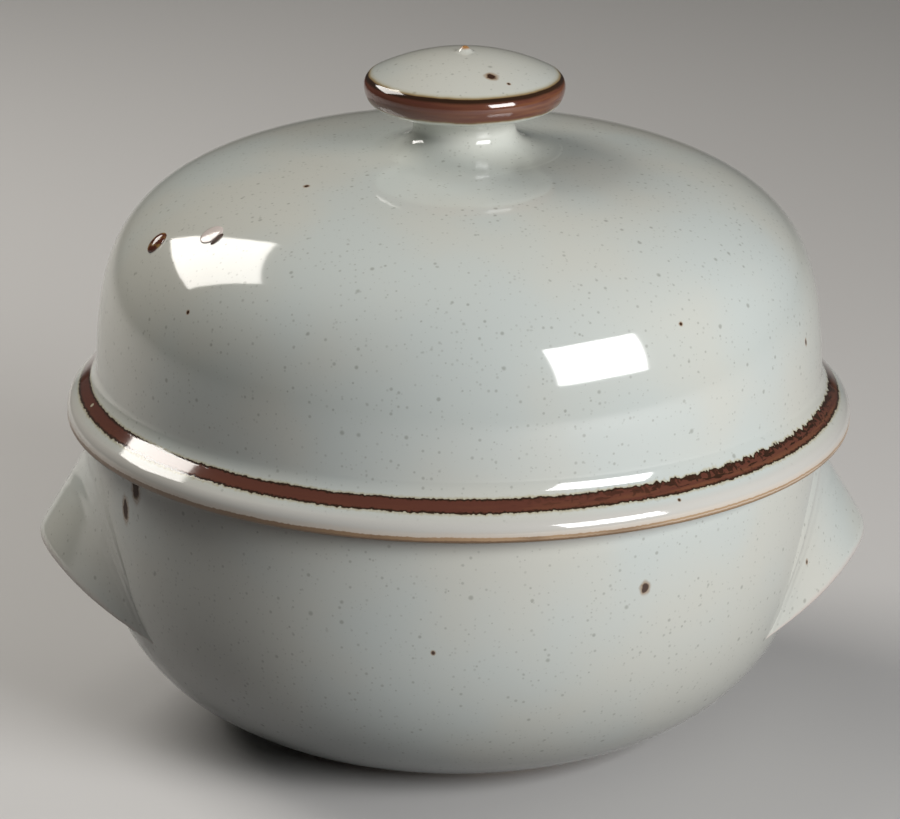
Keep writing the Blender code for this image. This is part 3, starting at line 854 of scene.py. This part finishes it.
edge_r = KNOB_RADIUS - KNOB_EDGE_ROUNDING
edge_z = DOME_TOP + KNOB_EDGE_HEIGHT
edge = arc(
    edge_r, edge_z, KNOB_EDGE_ROUNDING, KNOB_EDGE_ROUNDING, KNOB_EDGE_TOP_TURN, 0.0, KNOB_EDGE_TOP_STEPS
)
edge += arc(
    edge_r, edge_z, KNOB_EDGE_ROUNDING, KNOB_EDGE_DEPTH, 0.0, -KNOB_EDGE_UNDER_TURN, KNOB_EDGE_UNDER_STEPS
)[1:]
rim_r, rim_z = edge[0]
crown_radius = (rim_r**2 + KNOB_CROWN**2) / (2 * KNOB_CROWN)
knob_profile = []
for step in range(KNOB_CROWN_STEPS):
    radius = rim_r * (step / KNOB_CROWN_STEPS) ** KNOB_CROWN_SPACING
    height = rim_z + KNOB_CROWN - crown_radius + math.sqrt(crown_radius**2 - radius**2)
    if radius < KNOB_TIP_RADIUS:
        height += KNOB_TIP_HEIGHT * (1 + math.cos(math.pi * radius / KNOB_TIP_RADIUS)) / 2
    knob_profile.append((radius, height))
knob_profile += edge
under_r, under_z = edge[-1]
waist_z = DOME_TOP + KNOB_WAIST_HEIGHT
neck_r = under_r - KNOB_NECK_RADIUS
neck_z = under_z - waist_z
knob_profile += arc(under_r, waist_z, neck_r, neck_z, math.pi / 2, math.pi, KNOB_NECK_STEPS)[1:]
# The flare runs out along the dome, so that no edge shows where it was smoothed down
flare_rise = waist_z - dome_height_at(KNOB_NECK_RADIUS)
for step in range(1, KNOB_FLARE_STEPS + 1):
    turn = math.pi / 2 * step / KNOB_FLARE_STEPS
    run = math.cos(turn) ** (2 / KNOB_FLARE_SQUARENESS) if step < KNOB_FLARE_STEPS else 0.0
    radius = KNOB_FLARE_RADIUS - (KNOB_FLARE_RADIUS - KNOB_NECK_RADIUS) * run
    lift = flare_rise * (1 - math.sin(turn) ** (2 / KNOB_FLARE_SQUARENESS))
    knob_profile.append((radius, dome_height_at(radius) + lift))
for step in range(1, KNOB_TUCK_STEPS + 1):
    share = step / KNOB_TUCK_STEPS
    radius = KNOB_FLARE_RADIUS + KNOB_FLARE_TUCK * share
    knob_profile.append((radius, dome_height_at(radius) - KNOB_FLARE_DIP * share**2))
seat_z = knob_profile[-1][1] - KNOB_SEAT_DEPTH
knob_profile += [(KNOB_FLARE_RADIUS * share, seat_z) for share in KNOB_SEAT_SHARES]
lid_knob = throw("thrown_knob", knob_profile, KNOB_X, KNOB_WHEEL_STEPS)

IRON_OCHRE = (0.270, 0.165, 0.055, 1.0)
DIP_FOOT = edge_z - 0.0042
DIP_FOOT_WANDER = 0.0012
DIP_FOOT_SOFTNESS = 0.0006
DIP_TOP = edge_z + 0.0033
DIP_TOP_WANDER = 0.0004
DIP_TOP_EDGES = (-0.00005, 0.0002)
DIP_INNER_RADII = (0.0250, 0.0256)
DIP_DARK_DEPTHS = (0.0017, 0.0008)  # below the top of the dip, where the iron pooled
DIP_HALO = 0.0010
DIP_HALO_STRENGTH = 0.75
DIP_OCHRE = 0.0005
DIP_OCHRE_STRENGTH = 0.85
DIP_WANDER_SCALE = 140.0
DIP_STREAKS = (90.0, 90.0, 900.0)
DIP_RUST_EDGES = (0.3, 0.7)
DIP_RUST_LEAST = 0.2
DIP_RUST_ON_RIGHT = 0.6
KNOB_RIGHT_SIDE = (-0.6, 0.9)  # in knob radii
TIP_RUST = (0.420, 0.190, 0.050, 1.0)
TIP_RUST_RADII = (0.0019, 0.0010)
TIP_RUST_HEIGHTS = (edge_z, edge_z + 0.0080)
TIP_RUST_STRENGTH = 0.95
KNOB_RELIEF = 0.01  # in millimetres
KNOB_RELIEF_SCALE = 200.0
knob_spots = [
    ((0.0095, -0.0186, 0.2160), 0.0017, 1.0),
    ((0.0148, -0.0212, 0.2143), 0.0006, 1.0),
]
knob_surface, place = new_surface("celadon_knob")
height = place.along("Z")
outside = axis_distance(place, KNOB_X).step(*DIP_INNER_RADII)
rightward = ((place.along("X") - KNOB_X) / KNOB_RADIUS).step(*KNOB_RIGHT_SIDE)
wander = place.drift(DIP_WANDER_SCALE)
above = height - DIP_FOOT + wander * DIP_FOOT_WANDER
below = DIP_TOP + wander * DIP_TOP_WANDER - height
iron = above.step(-DIP_FOOT_SOFTNESS, DIP_FOOT_SOFTNESS) * below.step(*DIP_TOP_EDGES) * outside
halo = above.step(-DIP_HALO, 0.0) * below.step(-DIP_HALO, 0.0) * outside
ochre = above.step(-DIP_OCHRE, 0.0) * below.step(-DIP_OCHRE, 0.0) * outside
rust = place.stretch(DIP_STREAKS).clouds(1.0).step(*DIP_RUST_EDGES)
rust = rust * (DIP_RUST_LEAST + rightward * DIP_RUST_ON_RIGHT)
iron_colour = rust.mix(IRON_RED, IRON_RUST)
iron_colour = (below.step(*DIP_DARK_DEPTHS) * IRON_DARK_STRENGTH).mix(iron_colour, IRON_DARK)
tip = axis_distance(place, KNOB_X).step(*TIP_RUST_RADII) * height.step(*TIP_RUST_HEIGHTS)
colour = iron_spots(place, celadon(place), knob_spots)
colour = (halo * DIP_HALO_STRENGTH).mix(colour, IRON_HALO)
colour = (ochre * DIP_OCHRE_STRENGTH).mix(colour, IRON_OCHRE)
colour = iron.mix(colour, iron_colour)
colour = (tip * TIP_RUST_STRENGTH).mix(colour, TIP_RUST)
relief = place.clouds(KNOB_RELIEF_SCALE, detail=1.0) * KNOB_RELIEF
fire(knob_surface, place, colour, iron * (IRON_ROUGHNESS - GLOSS) + GLOSS, relief)
lid_knob.data.materials.append(knob_surface)
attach(lid_knob, "lid")
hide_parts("lid_knob")


# Floor: a plain pale sheet under the dish, which isn't part of it.
# The camera and the glaze see it pale, and it throws little light back on the dish.
FLOOR_SIZE = 12.0
FLOOR_PALE = (0.62, 0.61, 0.60, 1.0)
FLOOR_BOUNCE = (0.05, 0.05, 0.05, 1.0)
FLOOR_ROUGHNESS = 0.85


def seen_rays(camera_ray):
    """1 for what the camera sees, also mirrored in the glaze, and 0 for light that is on its way."""
    seen = camera_ray.either(camera_ray.beside("Is Glossy Ray"))
    return seen.either(camera_ray.beside("Is Transmission Ray"))


bpy.ops.object.select_all(action="DESELECT")
bpy.ops.mesh.primitive_plane_add(size=FLOOR_SIZE)
floor = bpy.context.object
floor.name = "floor"
floor_surface, place = new_surface("floor")
camera_ray = place.node("LightPath", {}, {}, output="Is Camera Ray")
floor_colour = seen_rays(camera_ray).mix(FLOOR_BOUNCE, FLOOR_PALE)
floor_shader = floor_surface.node_tree.nodes["Principled BSDF"]
floor_shader.inputs["Roughness"].default_value = FLOOR_ROUGHNESS
floor_surface.node_tree.links.new(floor_colour.socket, floor_shader.inputs["Base Color"])
floor.data.materials.append(floor_surface)


# Studio: a camera at the photograph's angle and two soft boxes that show in the glaze.
# A third, from the upper left, fills the shadows and isn't mirrored.
CAMERA_DISTANCE = 1.450
CAMERA_ELEVATION = math.radians(18.74)
CAMERA_TURN = math.radians(-2.7)
CAMERA_ROLL = math.radians(0.52)
CAMERA_LENS = 181.24  # in millimetres
CAMERA_AIM = Vector((-0.00275, -0.00294, 0.10184))
RIM_HEIGHT = 0.1105
UP = (0.0, 0.0, 1.0)

camera_data = bpy.data.cameras.new("camera")
camera_data.lens = CAMERA_LENS
camera = bpy.data.objects.new("camera", camera_data)
bpy.context.scene.collection.objects.link(camera)
camera_back = CAMERA_DISTANCE * math.cos(CAMERA_ELEVATION)
camera_height = RIM_HEIGHT + CAMERA_DISTANCE * math.sin(CAMERA_ELEVATION)
turn_about_lid = Quaternion(UP, CAMERA_TURN)
lid_axis = Vector((LID_X, 0.0, 0.0))
camera.location = lid_axis + turn_about_lid @ Vector((0.0, -camera_back, camera_height))
camera.rotation_mode = "QUATERNION"
look = (lid_axis + turn_about_lid @ CAMERA_AIM - camera.location).to_track_quat("-Z", "Y")
camera.rotation_quaternion = look @ Quaternion(UP, CAMERA_ROLL)
bpy.context.scene.camera = camera
bpy.context.scene.view_settings.view_transform = "Standard"

BOX_AIM = Vector((0.0, 0.0, 0.150))
BOX_DISTANCE = 1.20
LAMP_PLAIN = (1.0, 1.0, 1.0)
LAMP_WARM = (1.0, 0.965, 0.910)


def soft_box(name, azimuth_degrees, elevation_degrees, width, height, power, colour):
    """A soft box that faces the dish; azimuth 0 is at the camera's side and 90 to the right."""
    azimuth = math.radians(azimuth_degrees) + CAMERA_TURN
    elevation = math.radians(elevation_degrees)
    away = Vector((math.sin(azimuth), -math.cos(azimuth), 0.0)) * math.cos(elevation)
    away.z = math.sin(elevation)
    lamp = bpy.data.lights.new(name, "AREA")
    lamp.shape = "RECTANGLE"
    lamp.size = width
    lamp.size_y = height
    lamp.energy = power
    lamp.color = colour
    box = bpy.data.objects.new(name, lamp)
    bpy.context.scene.collection.objects.link(box)
    box.location = BOX_AIM + away * BOX_DISTANCE
    box.rotation_mode = "QUATERNION"
    box.rotation_quaternion = away.to_track_quat("Z", "Y")
    return box


soft_box(
    "soft_box_right",
    azimuth_degrees=43.9,
    elevation_degrees=19.4,
    width=0.62,
    height=0.51,
    power=14.2,
    colour=LAMP_PLAIN,
)
soft_box(
    "soft_box_left",
    azimuth_degrees=-120.8,
    elevation_degrees=38.3,
    width=0.63,
    height=0.56,
    power=8.2,
    colour=LAMP_WARM,
)
fill = soft_box(
    "soft_fill_above",
    azimuth_degrees=-105.0,
    elevation_degrees=60.0,
    width=1.00,
    height=1.00,
    power=3.4,
    colour=LAMP_WARM,
)
fill.visible_glossy = False

WORLD_LIGHT = (0.008, 0.008, 0.008, 1.0)
WORLD_PALE = (0.045, 0.044, 0.043, 1.0)
world = bpy.data.worlds.new("studio")
world.use_nodes = True
bpy.context.scene.world = world
background = world.node_tree.nodes["Background"]
light_path = world.node_tree.nodes.new("ShaderNodeLightPath")
camera_ray = Shade(world.node_tree, light_path.outputs["Is Camera Ray"])
world_colour = seen_rays(camera_ray).mix(WORLD_LIGHT, WORLD_PALE)
world.node_tree.links.new(world_colour.socket, background.inputs["Color"])
